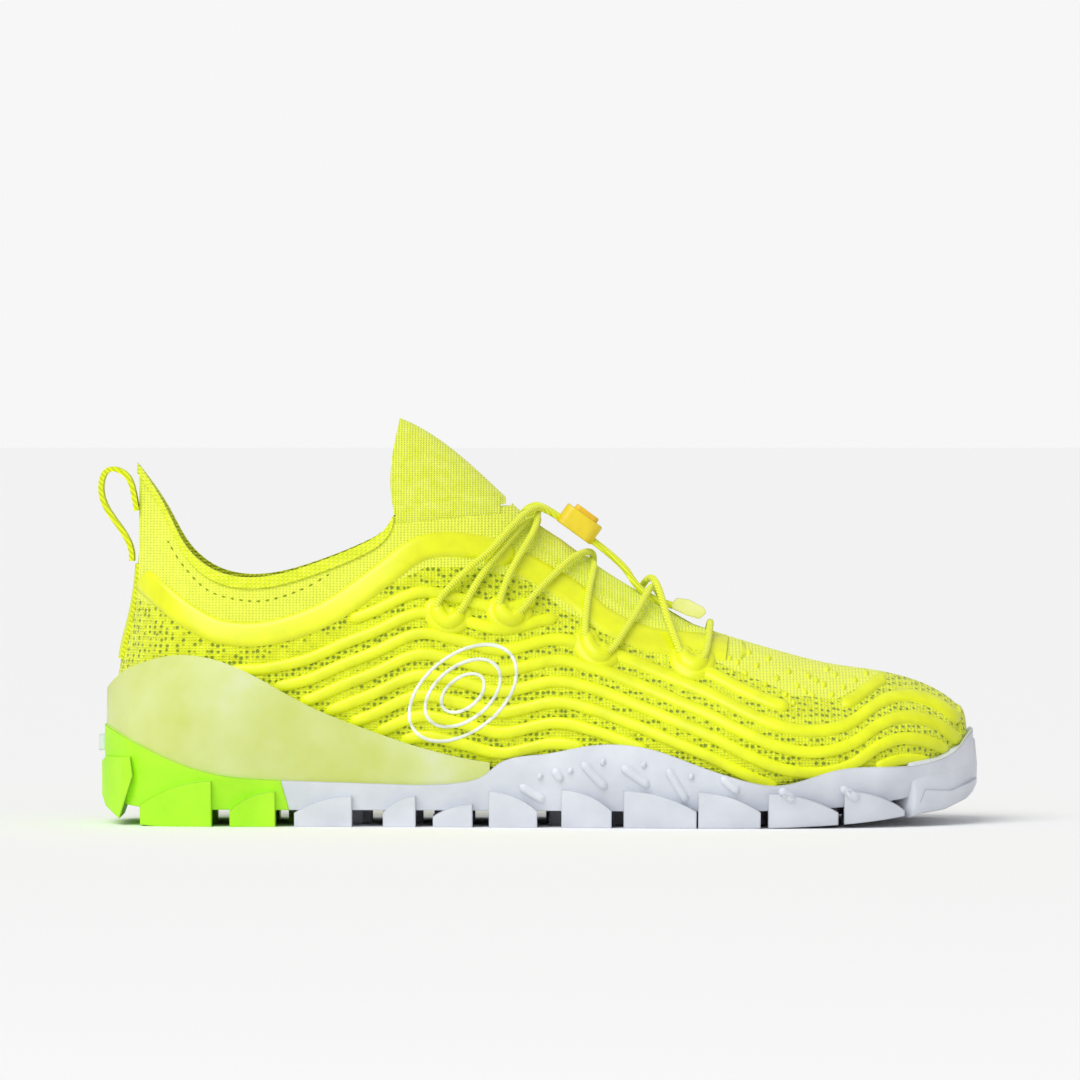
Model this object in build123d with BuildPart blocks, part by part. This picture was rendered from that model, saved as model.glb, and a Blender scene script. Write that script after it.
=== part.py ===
"""A low trail running shoe for the right foot: knit sock upper, frosted heel counter, cord
lacing with a sliding spring lock, and a lugged rubber outsole.

Millimetres. +X points to the toe, +Y to the inner side of the foot, +Z up, and the
tread stands on Z = 0.
"""
from build123d import *
from math import pi, radians, tan
import os

# Overall sizes
SHOE_LENGTH = 282.0  # the upper, heel to toe
BALL_WIDTH = 96.0  # the upper at the ball of the foot
UPPER_HEIGHT = 120.0  # scale of the upper above the sole line
HALF = SHOE_LENGTH / 2

# Sole stack, from the ground up
LUG = 5.5  # free depth of the tread
WEB = 2.5  # rubber between the lugs
MIDSOLE = 2.5
MIDSOLE_INSET = 1.0
SOLE_LINE = LUG + WEB + MIDSOLE  # underside of the upper
RAND = 3.6  # rubber wall around the foot
LUG_PROUD = 1.0  # lugs beyond the rand
LUG_REACH = 15.0  # side lugs, inwards
STUD_TREAD = 11.0  # inner lugs, across
STUD_PITCH = 17.0  # inner lugs, along the foot
STUD_GAP = 2.5  # from the side lugs
TAB_WIDTH = 12.0  # moulded tab at the back of the heel
TAB_HEIGHT = 5.0
TAB_DEPTH = 1.6
TAB_RISE = 26.5

# Layers of the upper, each measured outwards from the knit's outer face
BOND = 0.02  # glue line between layers
GLUE = 0.1  # glue line under and between the flat layers of the sole
KNIT = 1.8
COUNTER = 3.0
TAPE = 0.9
TAPE_WIDTH = 13.0
LINER = 1.2  # toe puff
BOARD = 1.2
INSOLE = 4.0
COVER = 0.8
FOOTBED_INSET = 4.2  # footbed edge inside the knit's lower edge
BINDING = 3.6  # rolled edge, up and down
BINDING_PROUD = 0.8
TONGUE_GAP = 0.5
TONGUE_ROOM = 2.0  # in front of the tongue, where it tips forward

# Lacing
CORD = 2.3
CORD_PLAY = 0.12  # around the cord where it runs in a guide
GUIDE = 3.7  # moulded cord guides, above the knit

# Pull loop at the heel
LOOP_WIDTH = 12.0
WEBBING = 1.6

# Cord lock
LOCK_LENGTH = 14.0
LOCK_WIDTH = 13.0
LOCK_DEPTH = 7.0
LOCK_LIFT = 1.85  # middle of the body above the cords
LOCK_EDGE = 1.0
LOCK_FLOOR = 0.7  # rubbing floor between the cords and the button
BUTTON_LENGTH = 9.0
BUTTON_WIDTH = 7.0
BUTTON_DEPTH = 3.4
BUTTON_PROUD = 1.6
SLIDING_FIT = 0.15
SPRING_RADIUS = 1.8
SPRING_WIRE = 0.4

# End clip
CLIP_WIDTH = 9.0
CLIP_CORNER = 0.7
CLIP_OUTLINE = [
    (15.7, 51.0), (16.5, 53.0), (17.9, 52.6), (19.7, 50.3), (19.9, 48.9), (19.1, 47.3),
    (17.7, 48.2), (16.0, 50.0),
]

# Cross sections of the last, heel to toe. Each row: place along the length, sole
# height, foot edge outer and inner, widest point outer and inner and its height,
# shoulder outer and inner and its height, ridge across and its height. Places are
# percent of SHOE_LENGTH, widths percent of BALL_WIDTH, heights percent of
# UPPER_HEIGHT above the sole line.
STATIONS = [
    (-49.2, 7.9, -4.2, 4.2, -6.2, 6.2, 18.8, -4.7, 4.7, 26.2, 0.0, 31.2),
    (-48.6, 4.2, -8.9, 8.9, -12.0, 12.0, 17.1, -8.3, 8.3, 30.4, 0.0, 37.9),
    (-47.5, 2.1, -15.1, 15.1, -18.2, 18.2, 15.8, -10.9, 10.9, 37.9, 0.0, 48.8),
    (-46.5, 1.2, -19.3, 19.3, -22.9, 22.9, 15.0, -9.9, 9.9, 52.9, 0.0, 77.9),
    (-45.7, 0.8, -21.4, 21.4, -25.0, 25.0, 14.6, -10.9, 10.9, 61.3, 0.0, 102.1),
    (-44.3, 0.4, -24.0, 24.0, -28.1, 28.1, 14.6, -16.1, 16.1, 61.3, 0.0, 104.6),
    (-41.8, 0.0, -27.1, 27.1, -31.8, 31.8, 14.6, -21.4, 21.4, 61.3, 0.0, 105.4),
    (-37.2, 0.0, -29.7, 29.7, -34.9, 34.9, 13.8, -26.0, 26.0, 61.3, 0.0, 105.4),
    (-30.1, 0.0, -30.7, 30.7, -35.9, 35.4, 13.8, -28.6, 28.1, 62.9, 0.0, 105.4),
    (-23.0, 0.0, -31.2, 30.2, -36.5, 34.9, 13.8, -28.6, 27.1, 66.2, 0.0, 105.4),
    (-16.3, 0.0, -32.3, 29.2, -38.0, 34.4, 13.8, -28.1, 25.5, 67.9, 0.0, 102.9),
    (-10.6, 0.0, -33.3, 29.2, -39.6, 34.9, 13.8, -27.6, 24.0, 62.9, 1.0, 95.4),
    (-5.3, 0.0, -34.9, 30.2, -41.1, 35.9, 13.8, -26.6, 22.4, 57.9, 2.1, 84.6),
    (0.0, 0.0, -36.5, 32.3, -42.7, 37.5, 12.9, -26.0, 21.9, 51.2, 3.1, 72.9),
    (5.3, 0.0, -38.5, 34.9, -44.8, 40.1, 12.1, -27.1, 22.9, 44.6, 3.6, 62.9),
    (10.6, 0.0, -40.6, 37.5, -46.9, 42.7, 11.2, -29.2, 25.0, 37.9, 4.2, 54.6),
    (16.0, 0.0, -42.7, 40.6, -49.0, 45.8, 10.4, -31.8, 28.1, 32.9, 4.2, 47.9),
    (21.3, 0.0, -43.8, 43.8, -50.0, 48.4, 9.6, -34.4, 31.2, 29.6, 4.2, 43.3),
    (28.4, 0.4, -43.8, 45.3, -49.5, 50.0, 9.6, -35.4, 34.4, 26.2, 5.2, 38.3),
    (34.8, 1.2, -40.6, 45.3, -45.8, 49.5, 9.6, -33.3, 36.5, 23.3, 7.3, 34.6),
    (39.7, 2.5, -35.4, 41.1, -40.1, 45.3, 10.4, -29.2, 34.4, 22.1, 8.3, 32.9),
    (44.0, 4.6, -27.1, 34.4, -31.2, 38.5, 11.7, -22.9, 29.7, 21.2, 9.4, 30.4),
    (46.8, 6.7, -18.8, 27.1, -22.4, 31.2, 12.9, -16.7, 24.0, 20.4, 9.9, 27.5),
    (48.8, 8.8, -10.4, 19.8, -13.0, 23.4, 14.2, -9.4, 18.2, 19.6, 10.4, 24.2),
    (49.9, 11.7, 4.2, 15.6, 2.1, 17.7, 15.4, 5.2, 15.1, 18.8, 9.9, 21.7),
]

# Lines of the side view: percent of the length, percent of the upper's height
COLLAR_LINE = [
    (-50.5, 101.0), (-46.5, 89.6), (-43.2, 77.8), (-40.6, 67.0), (-37.1, 60.8),
    (-32.2, 59.3), (-26.3, 62.6), (-20.5, 68.0), (-17.6, 72.5), (-16.6, 77.5),
]
TONGUE_LINE = [(-16.6, 77.5), (-17.0, 88.0), (-16.4, 98.0), (-15.7, 106.0)]
FLAP_LINE = [(-24.0, 74.75), (-3.6, 79.0)]
RAND_LINE = [
    (-54.0, 23.0), (-49.1, 16.9), (-46.3, 13.6), (-42.3, 9.2), (-37.9, 5.9), (-29.8, 4.0),
    (-17.7, 3.1), (-8.6, 3.6), (-6.3, 5.2), (-4.4, 8.7), (0.9, 11.4), (5.7, 13.6),
    (9.4, 14.1), (13.5, 12.7), (18.8, 8.3), (23.3, 4.8), (28.0, 3.0), (31.9, 5.2),
    (34.9, 7.2), (42.0, 7.8), (46.5, 9.2), (49.1, 12.2), (50.4, 15.6), (54.0, 17.0),
]
COUNTER_LINE = [
    (-52.5, 21.0), (-50.2, 28.7), (-48.4, 32.9), (-45.4, 36.2), (-42.0, 38.0), (-39.3, 37.8),
    (-33.5, 33.4), (-26.6, 24.6), (-20.7, 18.9), (-12.6, 12.5), (-5.4, 9.0),
]
PULL_LOOP = [
    (-47.4, 63.3), (-47.7, 68.0), (-49.7, 75.4), (-51.0, 83.3), (-50.1, 88.4),
    (-48.4, 87.6), (-47.2, 82.1), (-46.8, 77.1),
]
PUFF_LINE = [(39.0, 12.0), (43.0, 26.0), (54.0, 30.0)]
# Cord guides: centre in percent, turn in degrees
GUIDES = [(-10.2, 49.6, -27), (-3.0, 49.8, -27), (7.1, 41.0, -37), (18.0, 36.9, -14)]
GUIDE_LENGTH = 15.5
GUIDE_WIDTH = 9.0

# Route of the lace's middle line, in millimetres: from the end clip up through the lock,
# down the lacing from side to side, back up it, and out through the lock to the clip.
LACE = [
    (48.8, -2.6, 70.6), (43.8, -2.7, 72), (38.6, -2.6, 73.7), (33, -2.5, 78), (28.2, -2.3, 86.2),
    (4.2, -2.3, 103.6), (-1.6, -7.8, 104.4), (-8.4, -17.4, 97.9), (-15, -25.6, 90.2),
    (-20.8, -29, 85.8), (-27.2, -31.8, 79.8), (-32.6, -34.6, 73.8), (-32.4, -35.5, 69.8),
    (-28.8, -35.8, 67.3), (-24.8, -34.8, 70.2), (-20.4, -30.4, 78.6), (-15.4, -25.6, 86),
    (-9.8, -19, 92.6), (-4.2, -9.8, 99), (-0.6, -2.6, 100.6), (0.9, 3.8, 100.4),
    (-0.6, 10.4, 96.8), (-4.8, 17.4, 90.2), (-8.3, 21.8, 82.8), (-11.8, 26, 74.4),
    (-11.9, 27.6, 70.2), (-8.2, 28, 67.8), (-4.7, 26.2, 70.4), (0.4, 21.4, 77.4),
    (6.8, 16.4, 83.4), (12.6, 10.2, 87), (17, 4, 86.9), (19.4, -3, 85.6), (18.4, -9.8, 82),
    (17.2, -16.6, 77), (16.4, -23, 70.6), (15.8, -28.9, 63.8), (16.8, -31.8, 59.2),
    (20.2, -32.8, 56.2), (24.4, -31.8, 57.2), (29.4, -24, 64.6), (33.2, -16, 70.2),
    (36.6, -7.6, 76.2), (38.4, 0.6, 78.5), (40.8, 8.4, 75.3), (43.2, 13.8, 68.4),
    (45.2, 18.8, 62.6), (46.8, 23, 57.8), (48.4, 25.3, 54.2), (52.4, 26.3, 52.7),
    (55.4, 23.8, 55.6), (56.4, 17.8, 60.8), (57.3, 10, 64.7), (57.6, 0.6, 66.6), (57.3, -9.2, 65),
    (56.6, -17.8, 61), (55.4, -26, 55.8), (52.4, -28.9, 52.9), (48.4, -27.5, 54.4),
    (46.8, -25.2, 57.9), (44.8, -19, 63.6), (42.4, -12.4, 70.2), (40.4, -6, 78), (38, 1.2, 81.7),
    (34.8, 9.8, 78), (32, 16.8, 69.6), (28.4, 23, 63.2), (24.4, 27.4, 57.4), (20.2, 28.6, 56.2),
    (16.8, 27.6, 59.2), (15.8, 25, 63.8), (16.2, 21.4, 70.2), (17.2, 16.6, 76.8),
    (18.6, 11.2, 83.2), (19.2, 4.4, 88.9), (16.2, -3.8, 89.7), (11.4, -11.2, 87.6),
    (6.2, -17.8, 82.6), (0.4, -24.5, 77.2), (-4.8, -30.4, 70.7), (-8.2, -32.4, 67.8),
    (-12, -32, 70.2), (-12.1, -30.6, 74.4), (-8.8, -25, 83), (-4.4, -18, 90.6),
    (-0.2, -10.6, 97.4), (0.6, -3.4, 103), (0, 4.2, 103.3), (-4, 11.6, 99.4), (-9.8, 17.8, 92.8),
    (-15.4, 22.5, 86), (-20.5, 26.2, 78.8), (-24.8, 30.2, 70.2), (-28.8, 31.2, 67.3),
    (-32.4, 31.2, 69.8), (-32.8, 30.5, 73.8), (-27.4, 28.2, 79.8), (-21.2, 25.6, 85.8),
    (-14.8, 22.8, 91.2), (-7.6, 16.8, 98.5), (-1.6, 8.4, 105.4), (4.2, 2.3, 103.6),
    (28.2, 2.3, 86.2), (33, 2.5, 78), (38.6, 2.6, 73.7), (43.8, 2.7, 72), (48.8, 2.6, 70.6),
]
LACE_BEND = 0.45  # part of the shorter run that a corner's arc takes up
LOCK_RUN = 5  # the route point where the straight run through the lock begins
LOCK_AT = 11.0  # middle of the lock along that run, when the lace is tight

SPLIT_LINE = [(-29.8, 7.0), (-29.4, 2.0), (-28.7, -3.9), (-28.7, -12.0)]

# Side lugs: start and end in percent of the length, and the height of the face above
# the ground. The first set leans back, the second set leans forward.
REAR_LUGS = [
    (-46.1, -37.7, 15.0), (-35.6, -30.3, 11.6), (-28.1, -21.4, 10.2),
    (-17.8, -14.0, 10.3), (-12.0, -7.4, 7.6),
]
FRONT_LUGS = [
    (-5.5, 0.1, 12.0), (2.9, 8.7, 12.6), (10.1, 18.5, 12.4), (18.7, 25.9, 12.0),
    (26.8, 34.9, 11.6), (35.6, 42.7, 12.4),
]
HEEL_LUG = [(-51.6, 6.5), (-50.2, 10.0), (-47.2, 10.2), (-46.9, 5.0), (-48.6, -7.0), (-50.6, -3.2)]
TOE_LUG = [(43.8, -6.2), (45.1, 1.6), (48.2, 1.0), (52.0, 4.0), (52.0, -8.0), (43.8, -8.0)]


def place(along, up):
    """A point of the side view from its percentages."""
    return along / 100 * SHOE_LENGTH, SOLE_LINE + up / 100 * UPPER_HEIGHT


def section(row, out, down):
    """One cross section of the last, grown by out, its floor lowered by down."""
    along, sole, foot_l, foot_m, wall_l, wall_m, wall_z, sh_l, sh_m, sh_z, ridge_y, ridge_z = row
    x, floor = place(along, sole)
    wide = BALL_WIDTH / 100
    wall = place(along, wall_z)[1]
    shoulder = place(along, sh_z)[1] + out * 0.6
    ridge = place(along, ridge_z)[1] + out
    return x * (1 + out / HALF), [
        (foot_l * wide - out, floor - down),
        (wall_l * wide - out, wall),
        (sh_l * wide - out * 0.8, shoulder),
        (ridge_y * wide, ridge),
        (sh_m * wide + out * 0.8, shoulder),
        (wall_m * wide + out, wall),
        (foot_m * wide + out, floor - down),
    ]


def last(out, down):
    """The foot's form, grown by out all round and lowered by down."""
    with BuildPart() as form:
        for row in STATIONS:
            x, points = section(row, out, down)
            with BuildSketch(Plane.YZ.offset(x)):
                with BuildLine():
                    arch = Spline(*points)
                    Line(arch @ 1, arch @ 0)
                make_face()
        loft()
    return form.part


def region(curve, corners):
    """A closed outline of the side view, a curve and straight edges, carried across the
    whole width."""
    with BuildPart() as prism:
        with BuildSketch(Plane.XZ):
            with BuildLine():
                edge = Spline(*[place(*point) for point in curve])
                Polyline(edge @ 1, *[place(*point) for point in corners], edge @ 0)
            make_face()
        extrude(amount=BALL_WIDTH, both=True)
    return prism.part


def under(line):
    """What lies under a line of the side view."""
    return region(line, [(line[-1][0], -40), (line[0][0], -40)])


def over(line):
    """What lies over a line of the side view."""
    return region(line, [(line[-1][0], 130), (line[0][0], 130)])


def shifted(line, up, along=0.0):
    """The same side-view line, moved up and forwards by millimetres."""
    return [(x + along / SHOE_LENGTH * 100, z + up / UPPER_HEIGHT * 100) for x, z in line]


KNIT_FACE = last(0, 0)
KNIT_BACK = last(-KNIT, -KNIT)
RAND_FACE = last(RAND, MIDSOLE + WEB)
LUG_FACE = last(RAND + LUG_PROUD, SOLE_LINE + 0.1)
CUP = last(GLUE, MIDSOLE + GLUE)


def layer(inner, outer):
    """A skin around the last, between two distances from the knit's outer face."""
    with BuildPart() as skin:
        add(last(outer, outer))
        add(last(inner, inner), mode=Mode.SUBTRACT)
    return skin.part


def footprint(inset):
    """Plan of the last's lower edge, moved inwards and carried upwards."""
    wide = BALL_WIDTH / 100
    rows = [row for row in STATIONS[2:-2] if (row[3] - row[2]) * wide > 2 * inset + 6]
    ring = [(row[0], row[2] * wide + inset) for row in rows]
    ring += [(row[0], row[3] * wide - inset) for row in reversed(rows)]
    with BuildPart() as prism:
        with BuildSketch():
            with BuildLine():
                Spline(*[(place(x, 0)[0] * (1 - inset / HALF), y) for x, y in ring], periodic=True)
            make_face()
        extrude(amount=SOLE_LINE + UPPER_HEIGHT / 2)
    return prism.part


def floor_layer(low, high, inset):
    """A flat layer that follows the sole's rise at toe and heel, at two heights above it."""
    floor = [(row[0] * (1 - max(low, 0) / HALF), row[1]) for row in STATIONS]
    with BuildPart() as sheet:
        add(footprint(inset))
        add(under(shifted(floor, high)), mode=Mode.INTERSECT)
        add(under(shifted(floor, low)), mode=Mode.SUBTRACT)
    return sheet.part


def outline_prism(points, side):
    """A straight-sided outline of the side view, carried to one side."""
    with BuildPart() as prism:
        with BuildSketch(Plane.XZ):
            with BuildLine():
                Polyline(*[place(*point) for point in points], close=True)
            make_face()
        extrude(amount=-side * BALL_WIDTH)
    return prism.part


def side_lug(start, end, height, leans_back, side):
    """A lug's face: upright on one end, rounded over to the other."""
    x0 = place(start, 0)[0]
    x1 = place(end, 0)[0]
    foot = (x0, x1) if leans_back else (x1, x0)
    middle = x0 + (x1 - x0) / 2
    with BuildPart() as lug:
        with BuildSketch(Plane.XZ):
            with BuildLine():
                face = ThreePointArc((foot[0], height * 0.45), (middle, height * 0.87), (foot[1], height))
                Polyline(face @ 1, (foot[1], 0), (foot[0], 0), face @ 0)
            make_face()
        extrude(amount=-side * BALL_WIDTH)
    return lug.part


def side_lugs(side):
    """All the lugs of one side, cut to the foot's outline and to the depth of a lug."""
    with BuildPart() as lugs:
        for start, end, height in REAR_LUGS:
            add(side_lug(start, end, height, True, side))
        for start, end, height in FRONT_LUGS:
            add(side_lug(start, end, height, False, side))
        add(outline_prism(HEEL_LUG, side))
        add(outline_prism(TOE_LUG, side))
        add(LUG_FACE, mode=Mode.INTERSECT)
        add(footprint(LUG_REACH), mode=Mode.SUBTRACT)
        add(CUP, mode=Mode.SUBTRACT)
        with BuildSketch():
            Rectangle(2 * SHOE_LENGTH, 2 * BALL_WIDTH)
        extrude(amount=-LUG, mode=Mode.SUBTRACT)
    return lugs.part


def inner_lugs():
    """Rows of low studs under the foot, between the side lugs."""
    with BuildPart() as studs:
        with BuildSketch():
            with GridLocations(STUD_PITCH, STUD_TREAD * 1.45, 14, 3):
                Trapezoid(STUD_PITCH * 0.62, STUD_TREAD, 72)
        extrude(amount=SOLE_LINE + LUG)
        add(footprint(LUG_REACH + STUD_GAP), mode=Mode.INTERSECT)
        add(LUG_FACE, mode=Mode.INTERSECT)
        add(CUP, mode=Mode.SUBTRACT)
    return studs.part


with BuildPart() as tread:
    add(RAND_FACE)
    add(under(RAND_LINE), mode=Mode.INTERSECT)
    add(CUP, mode=Mode.SUBTRACT)
    add(side_lugs(-1))
    add(side_lugs(1))
    add(inner_lugs())

with BuildPart() as outsole_heel:
    add(tread.part)
    add(region(SPLIT_LINE, [(-60, -12), (-60, 30)]), mode=Mode.INTERSECT)

with BuildPart() as outsole:
    add(tread.part)
    add(region(SPLIT_LINE, [(-60, -12), (-60, 30)]), mode=Mode.SUBTRACT)

with BuildPart() as heel_tab:
    with BuildSketch(Plane.YZ.offset(-SHOE_LENGTH / 2 - RAND - TAB_DEPTH + RAND / 2)):
        with Locations((0, TAB_RISE)):
            Rectangle(TAB_WIDTH, TAB_HEIGHT)
    extrude(amount=TAB_DEPTH + RAND)
    add(last(RAND + BOND, MIDSOLE + WEB), mode=Mode.SUBTRACT)

with BuildPart() as midsole:
    add(floor_layer(-MIDSOLE, -GLUE, MIDSOLE_INSET))

with BuildPart() as strobel_board:
    add(floor_layer(KNIT + GLUE, KNIT + BOARD, FOOTBED_INSET))

with BuildPart() as insole:
    add(floor_layer(KNIT + BOARD + GLUE, KNIT + BOARD + INSOLE, FOOTBED_INSET))

with BuildPart() as insole_cover:
    add(floor_layer(KNIT + BOARD + INSOLE + GLUE, KNIT + BOARD + INSOLE + COVER, FOOTBED_INSET))

OPENING = region(COLLAR_LINE + TONGUE_LINE[1:], [(-15.7, 130), (-50.5, 130)])
FLAP_SPACE = over(shifted(FLAP_LINE, -TONGUE_GAP, TONGUE_ROOM))
TONGUE_REAR = region(TONGUE_LINE, [(-50, 106), (-50, 70), (-16.6, 70)])
RIM = region(shifted(COLLAR_LINE, -BINDING), [(-16.6, 130), (-50.5, 130)])

with BuildPart() as knit_upper:
    add(KNIT_FACE)
    add(KNIT_BACK, mode=Mode.SUBTRACT)
    add(RIM, mode=Mode.SUBTRACT)
    add(OPENING, mode=Mode.SUBTRACT)
    add(FLAP_SPACE, mode=Mode.SUBTRACT)


with BuildPart() as tongue_flap:
    add(KNIT_FACE)
    add(KNIT_BACK, mode=Mode.SUBTRACT)
    add(over(FLAP_LINE), mode=Mode.INTERSECT)
    add(TONGUE_REAR, mode=Mode.SUBTRACT)

ROLLED_SKIN = layer(-KNIT - BINDING_PROUD, BINDING_PROUD)
TAPE_SKIN = layer(BOND, TAPE)
COUNTER_SKIN = layer(BOND, COUNTER)
GUIDE_SKIN = layer(BOND, GUIDE)
LINER_SKIN = layer(-KNIT - LINER, -KNIT - BOND)


def trimmed(skin, keep, *cuts):
    """The part of a skin that one shape holds, less what the others hold."""
    with BuildPart() as piece:
        add(skin)
        add(keep, mode=Mode.INTERSECT)
        for cut in cuts:
            add(cut, mode=Mode.SUBTRACT)
    return piece.part


def guide_prisms(side):
    """The outlines of one side's cord guides, carried outwards."""
    with BuildPart() as prisms:
        with BuildSketch(Plane.XZ):
            for along, up, turn in GUIDES:
                with Locations(Location((*place(along, up), 0), (0, 0, turn))):
                    SlotOverall(GUIDE_LENGTH, GUIDE_WIDTH)
        extrude(amount=-side * BALL_WIDTH)
    return prisms.part


def slab(x0, x1, z0, z1, width):
    """An upright block across the shoe, in millimetres."""
    with BuildPart() as block:
        with BuildSketch(Plane.YZ.offset(x0)):
            with Locations((0, (z0 + z1) / 2)):
                Rectangle(width, z1 - z0)
        extrude(amount=x1 - x0)
    return block.part


HEEL = place(-49.6, 0)[0]
TAPE_LOW = place(0, 36.5)[1]
TAPE_TOP = place(0, 62.5)[1]
TAPE_BLOCK = slab(HEEL - 2 * COUNTER, HEEL + 6 * COUNTER, TAPE_LOW, TAPE_TOP, TAPE_WIDTH)

with BuildPart() as collar_binding:
    add(trimmed(ROLLED_SKIN, RIM, OPENING, FLAP_SPACE))

with BuildPart() as heel_counter:
    add(trimmed(COUNTER_SKIN, under(COUNTER_LINE), under(RAND_LINE)))

with BuildPart() as heel_tape:
    add(trimmed(TAPE_SKIN, TAPE_BLOCK))

with BuildPart() as heel_pull_loop:
    with BuildLine() as ribbon:
        Spline(*[(x, 0, z) for x, z in [place(*point) for point in PULL_LOOP]])
    with BuildSketch(Plane(ribbon.line @ 0, x_dir=(0, 1, 0), z_dir=ribbon.line % 0)):
        Rectangle(LOOP_WIDTH, WEBBING)
    sweep()
    add(last(BOND, BOND), mode=Mode.SUBTRACT)

FOOTBED_SPACE = floor_layer(-KNIT, KNIT + BOARD + INSOLE + COVER + GLUE, FOOTBED_INSET - 0.3)

with BuildPart() as toe_puff:
    add(trimmed(LINER_SKIN, under(PUFF_LINE), FOOTBED_SPACE))

def bend_radii(points):
    """The radius at each corner of a cord's route, as large as its two runs allow."""
    corners = [Vector(*point) for point in points]
    radii = []
    for before, corner, after in zip(corners, corners[1:], corners[2:]):
        half_turn = radians((corner - before).get_angle(after - corner)) / 2
        shorter = min((corner - before).length, (after - corner).length)
        radii.append(LACE_BEND * shorter / tan(half_turn))
    return radii


def lace_tube(radius):
    """The lace, or the room that it needs in what it runs through."""
    with BuildPart() as tube:
        with BuildLine():
            FilletPolyline(*LACE, radius=bend_radii(LACE))
        with BuildSketch(Plane(LACE[0], z_dir=Vector(*LACE[1]) - Vector(*LACE[0]))):
            Circle(radius)
        sweep()
    return tube.part


with BuildPart() as lace:
    add(lace_tube(CORD / 2))

LACE_ROOM = lace_tube(CORD / 2 + CORD_PLAY)


with BuildPart() as guides_outer:
    add(trimmed(GUIDE_SKIN, guide_prisms(-1), LACE_ROOM))

with BuildPart() as guides_inner:
    add(trimmed(GUIDE_SKIN, guide_prisms(1), LACE_ROOM))

RUN_START = Vector(LACE[LOCK_RUN][0], 0, LACE[LOCK_RUN][2])
RUN_END = Vector(LACE[LOCK_RUN - 1][0], 0, LACE[LOCK_RUN - 1][2])
RUN = (RUN_END - RUN_START).normalized()
LOCK_PLANE = Plane(RUN_START + RUN * LOCK_AT, x_dir=RUN, z_dir=RUN.cross(Vector(0, 1, 0)))
LOCK_TOP = LOCK_LIFT + LOCK_DEPTH / 2
POCKET_FLOOR = CORD / 2 + CORD_PLAY + LOCK_FLOOR
BUTTON_FOOT = LOCK_TOP + BUTTON_PROUD - BUTTON_DEPTH

with BuildPart() as lock_body:
    with BuildSketch(LOCK_PLANE.offset(LOCK_LIFT - LOCK_DEPTH / 2)):
        RectangleRounded(LOCK_LENGTH, LOCK_WIDTH, LOCK_WIDTH / 4)
    extrude(amount=LOCK_DEPTH)
    ends = lock_body.faces().sort_by(Axis(LOCK_PLANE.origin, LOCK_PLANE.z_dir))
    fillet(ends[-1].edges() + ends[0].edges(), LOCK_EDGE / 2)
    with BuildSketch(LOCK_PLANE.offset(POCKET_FLOOR)):
        RectangleRounded(
            BUTTON_LENGTH + 2 * SLIDING_FIT, BUTTON_WIDTH + 2 * SLIDING_FIT, BUTTON_WIDTH / 4 + SLIDING_FIT
        )
    extrude(amount=LOCK_DEPTH, mode=Mode.SUBTRACT)
    add(LACE_ROOM, mode=Mode.SUBTRACT)

with BuildPart() as lock_button:
    with BuildSketch(LOCK_PLANE.offset(BUTTON_FOOT)):
        RectangleRounded(BUTTON_LENGTH, BUTTON_WIDTH, BUTTON_WIDTH / 4)
    extrude(amount=BUTTON_DEPTH)
    crown = lock_button.faces().sort_by(Axis(LOCK_PLANE.origin, LOCK_PLANE.z_dir))[-1]
    fillet(crown.edges(), LOCK_EDGE * 0.6)

with BuildPart() as lock_spring:
    with BuildSketch(LOCK_PLANE.offset(POCKET_FLOOR)):
        Circle(SPRING_RADIUS)
        Circle(SPRING_RADIUS - SPRING_WIRE, mode=Mode.SUBTRACT)
    extrude(amount=BUTTON_FOOT - POCKET_FLOOR)

with BuildPart() as end_clip:
    with BuildSketch(Plane.XZ.offset(-CLIP_WIDTH / 2)):
        with BuildLine():
            Polyline(*[place(*point) for point in CLIP_OUTLINE], close=True)
        corners = make_face().vertices()
        fillet(corners, CLIP_CORNER)
    extrude(amount=CLIP_WIDTH)
    add(LACE_ROOM, mode=Mode.SUBTRACT)

PIECES = {
    "outsole": outsole,
    "outsole_heel": outsole_heel,
    "heel_tab": heel_tab,
    "midsole": midsole,
    "strobel_board": strobel_board,
    "insole": insole,
    "insole_cover": insole_cover,
    "knit_upper": knit_upper,
    "collar_binding": collar_binding,
    "tongue_flap": tongue_flap,
    "heel_tape": heel_tape,
    "heel_pull_loop": heel_pull_loop,
    "heel_counter": heel_counter,
    "toe_puff": toe_puff,
    "guides_outer": guides_outer,
    "guides_inner": guides_inner,
    "lace": lace,
    "lock_body": lock_body,
    "lock_button": lock_button,
    "lock_spring": lock_spring,
    "end_clip": end_clip,
}

os.makedirs("parts", exist_ok=True)
for label, piece in PIECES.items():
    piece.part.label = label
    export_step(piece.part, f"parts/{label}.step")

lace_length = lace.part.volume / (pi * CORD**2 / 4)
print("lace bends, mm:", sorted(round(radius, 1) for radius in bend_radii(LACE))[:12])
print("lace length, mm:", round(lace_length, 1))
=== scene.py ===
"""A neon trail running shoe for the right foot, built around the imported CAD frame.

Metres. +X points to the toe, +Y to the inner side of the foot, +Z up.
"""
import bpy
from math import cos, hypot, pi, radians, sin, sqrt
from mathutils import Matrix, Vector
from mathutils.bvhtree import BVHTree


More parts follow.
